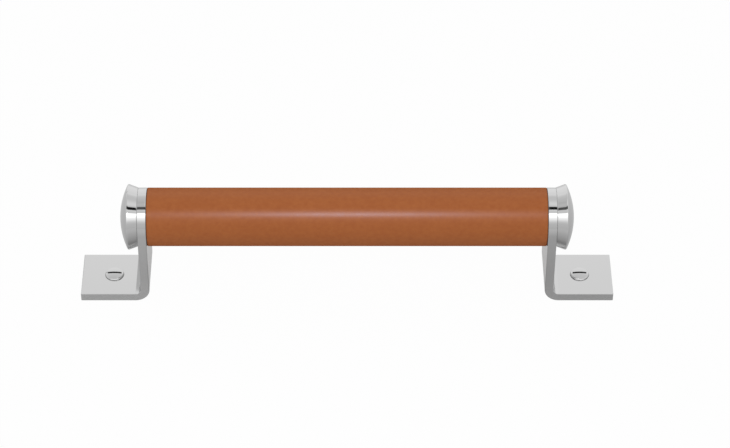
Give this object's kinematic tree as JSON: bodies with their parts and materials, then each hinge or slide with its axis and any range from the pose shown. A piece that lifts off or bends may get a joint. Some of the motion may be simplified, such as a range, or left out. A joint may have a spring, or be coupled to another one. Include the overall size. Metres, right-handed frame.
{
  "type": "leather pull handle",
  "caption": "Pull handle with a leather wrapped grip held between bent metal feet by flared domed end caps, fixed to a door or drawer front by countersunk screws.",
  "frame": {"origin": "midway between the two feet, on the plane of their undersides, which is the face of the door", "axes": "+X along the grip, +Z out of the door from the feet towards the grip, +Y across the feet"},
  "size_m": [0.1838, 0.0224, 0.0482],
  "materials": {
    "leather": "smooth tan leather, satin",
    "chrome": "polished plate",
    "bar": "turned",
    "stud": "thin zinc plate"
  },
  "bodies": {
    "root": {"core_bar": "bar", "leather_sleeve": "leather", "left_bracket": "chrome", "left_end_cap": "chrome", "left_tie_stud": "stud", "left_foot_screw": "chrome", "right_bracket": "chrome", "right_end_cap": "chrome", "right_tie_stud": "stud", "right_foot_screw": "chrome"}
  },
  "joints": []
}
